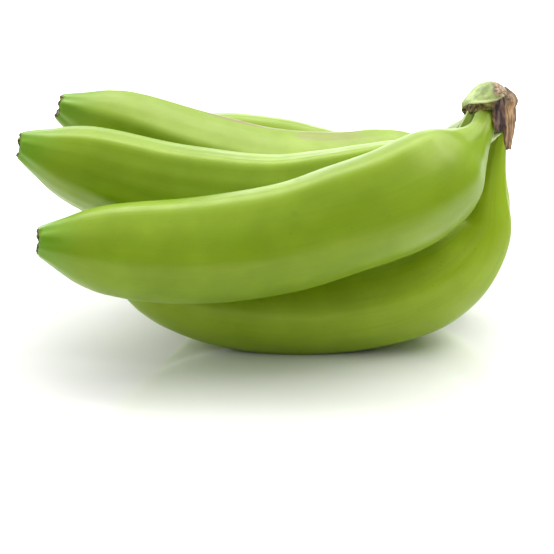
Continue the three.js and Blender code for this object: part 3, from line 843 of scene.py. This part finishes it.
# Dried stalk skin: matt fibrous brown, olive under the cap, nearly black-purple then tan on the flap
skinLook = {
    "oliveDark": "#3a2c10", "oliveLight": "#86703a", "green": "#75802e",
    "blackDark": "#35272a", "blackLight": "#7f6258",
    "tanDark": "#7a5a40", "tanLight": "#bf9c6e", "tanFleck": "#5c4234",
    "streakColour": "#3b2a20", "streakMost": 0.35, "topFrom": 0.72, "topFull": 0.92,
    "roughness": 0.85, "bump": 0.7, "bumpDepth": 0.3, "drawnOut": (1, 0.16, 1),
    "blotches": {"size": 1.5, "low": 0.42, "high": 0.58, "most": 1.0},
    "greenish": {"size": 4.0, "low": 0.5, "high": 0.62, "most": 0.7},
    "blackened": {"size": 0.9, "low": 0.45, "high": 0.62, "most": 1.0},
    "coarse": {"size": 1.3, "low": 0.42, "high": 0.6, "most": 1.0},
    "flecks": {"size": 0.8, "low": 0.52, "high": 0.64, "most": 0.6},
    "fine": {"size": 0.5, "low": 0.42, "high": 0.62, "most": 1.0},
}


def makeDrySkinMaterial():
    husk = newMaterial("driedStalkSkin")
    place = addNode(husk, "ShaderNodeAttribute", {"attribute_name": "skinPlace"}, {}).outputs["Vector"]
    flap = addNode(husk, "ShaderNodeAttribute", {"attribute_name": "skinFlap"}, {}).outputs["Vector"]
    flapShares = addNode(husk, "ShaderNodeSeparateXYZ", {}, {"Vector": flap}).outputs
    drawn = addNode(husk, "ShaderNodeMapping", {
        "Scale": skinLook["drawnOut"]}, {"Vector": place}).outputs["Vector"]
    fine = noiseShare(husk, drawn, **skinLook["fine"])
    blackened = layColours(husk, skinLook["blackDark"], [
        (skinLook["blackLight"], noiseShare(husk, drawn, **skinLook["blackened"]))])
    tanned = layColours(husk, skinLook["tanDark"], [
        (skinLook["tanLight"], noiseShare(husk, drawn, **skinLook["coarse"])),
        (skinLook["tanFleck"], noiseShare(husk, drawn, **skinLook["flecks"]))])
    corky = layColours(husk, bark["dark"], [
        (bark["light"], noiseShare(husk, place, **bark["patches"]))])
    flapped = layColours(husk, skinLook["oliveDark"], [
        (skinLook["oliveLight"], noiseShare(husk, place, **skinLook["blotches"])),
        (skinLook["green"], noiseShare(husk, place, **skinLook["greenish"])),
        (blackened, flapShares["X"]), (tanned, flapShares["Y"])])
    topped = layColours(husk, flapped, [(corky, flapShares["Y"])])
    topShare = addNode(husk, "ShaderNodeMapRange", {
        "From Min": skinLook["topFrom"], "From Max": skinLook["topFull"], "To Min": 0.0,
        "To Max": 1.0}, {"Value": flapShares["Z"]}).outputs["Result"]
    streaks = addNode(husk, "ShaderNodeMath", {
        "operation": 'MULTIPLY', 1: skinLook["streakMost"]}, {0: fine}).outputs["Value"]
    colour = layColours(husk, flapped, [(topped, topShare), (skinLook["streakColour"], streaks)])
    bump = addNode(husk, "ShaderNodeBump", {
        "Strength": skinLook["bump"], "Distance": skinLook["bumpDepth"] * mm}, {"Height": fine})
    shader = addNode(husk, "ShaderNodeBsdfPrincipled", {"Roughness": skinLook["roughness"]}, {
        "Base Color": colour, "Normal": bump.outputs["Normal"]})
    addNode(husk, "ShaderNodeOutputMaterial", {}, {"Surface": shader.outputs["BSDF"]})
    return husk


piece = makeDrySkin()
piece.data.materials.append(makeDrySkinMaterial())
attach(piece, "root")
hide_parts("crown_dry_skin")
print("the dry skin is on")


# Pale torn fold: a curled strip of inner skin between the front neck and the flap

fold = {
    "columns": 14, "rows": 6, "thickness": 0.4, "sag": 0.9, "curl": 0.7, "wrinkle": 0.25,
    "wrinkleSize": 1.5, "wrinkleSeed": 3,
    "top": [(80.9, -28.2, 82.9), (83.4, -25.8, 82.6), (86.0, -23.6, 82.6)],
    "bottom": [(80.4, -28.0, 78.6), (82.9, -25.8, 79.2), (85.8, -23.4, 81.4)],
}


def makeTornFold():
    deselectAll()
    bpy.ops.mesh.primitive_grid_add(x_subdivisions=fold["columns"], y_subdivisions=fold["rows"], size=1)
    piece = bpy.context.object
    piece.name = "paleTornFold"
    edges = [traceCentreline(fold[side]) for side in ("bottom", "top")]
    noise.seed_set(fold["wrinkleSeed"])  # unseeded, noise_vector gives other wrinkles in each run
    for vertex in piece.data.vertices:
        along = vertex.co.x + 0.5
        rise = vertex.co.y + 0.5
        low, high = (placeOn(edge, along) for edge in edges)
        spot = low.lerp(high, rise)
        spot.y -= fold["sag"] * math.sin(math.pi * rise) - fold["curl"] * (1 - rise) ** 2
        spot += fold["wrinkle"] * noise.noise_vector(spot / fold["wrinkleSize"])
        vertex.co = spot * mm
    giveThickness(piece, fold["thickness"])
    smoothOutwards()
    return piece


# Torn inner skin: pale yellow-green and matt, with a few darker fibres
foldLook = {
    "dark": "#bed27a", "light": "#dbe6b0", "roughness": 0.6,
    "fibres": {"size": 1.5, "low": 0.4, "high": 0.6, "most": 1.0},
}


def makeTornFoldMaterial():
    inner = newMaterial("tornInnerSkin")
    place = addNode(inner, "ShaderNodeTexCoord", {}, {}).outputs["Object"]
    colour = layColours(inner, foldLook["dark"], [
        (foldLook["light"], noiseShare(inner, place, **foldLook["fibres"]))])
    shader = addNode(inner, "ShaderNodeBsdfPrincipled", {"Roughness": foldLook["roughness"]}, {
        "Base Color": colour})
    addNode(inner, "ShaderNodeOutputMaterial", {}, {"Surface": shader.outputs["BSDF"]})
    return inner


piece = makeTornFold()
piece.data.materials.append(makeTornFoldMaterial())
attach(piece, "root")
print("the torn fold is on")
